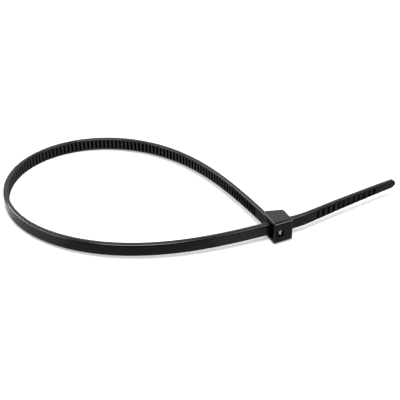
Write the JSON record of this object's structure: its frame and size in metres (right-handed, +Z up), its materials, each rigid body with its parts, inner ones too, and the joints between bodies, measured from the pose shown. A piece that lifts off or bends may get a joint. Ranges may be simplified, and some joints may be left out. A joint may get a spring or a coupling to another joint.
{
  "type": "cable tie",
  "caption": "Slim nylon cable tie threaded into a loop, with a serrated strap, a square locking head and a grooved, tapered tail.",
  "frame": {"origin": "centre of the footprint of the whole tie, on the surface that it lies on", "axes": "+X along the longest extent, from the loop towards the tail's tip; +Y across the loop, from the run that enters the head to the run that leaves it; +Z up, along the width of the strap"},
  "size_m": [0.1097, 0.0542, 0.0067],
  "materials": {
    "nylon": "black moulded nylon with a soft gloss"
  },
  "bodies": {
    "root": {"cable_tie": "nylon"}
  },
  "joints": []
}
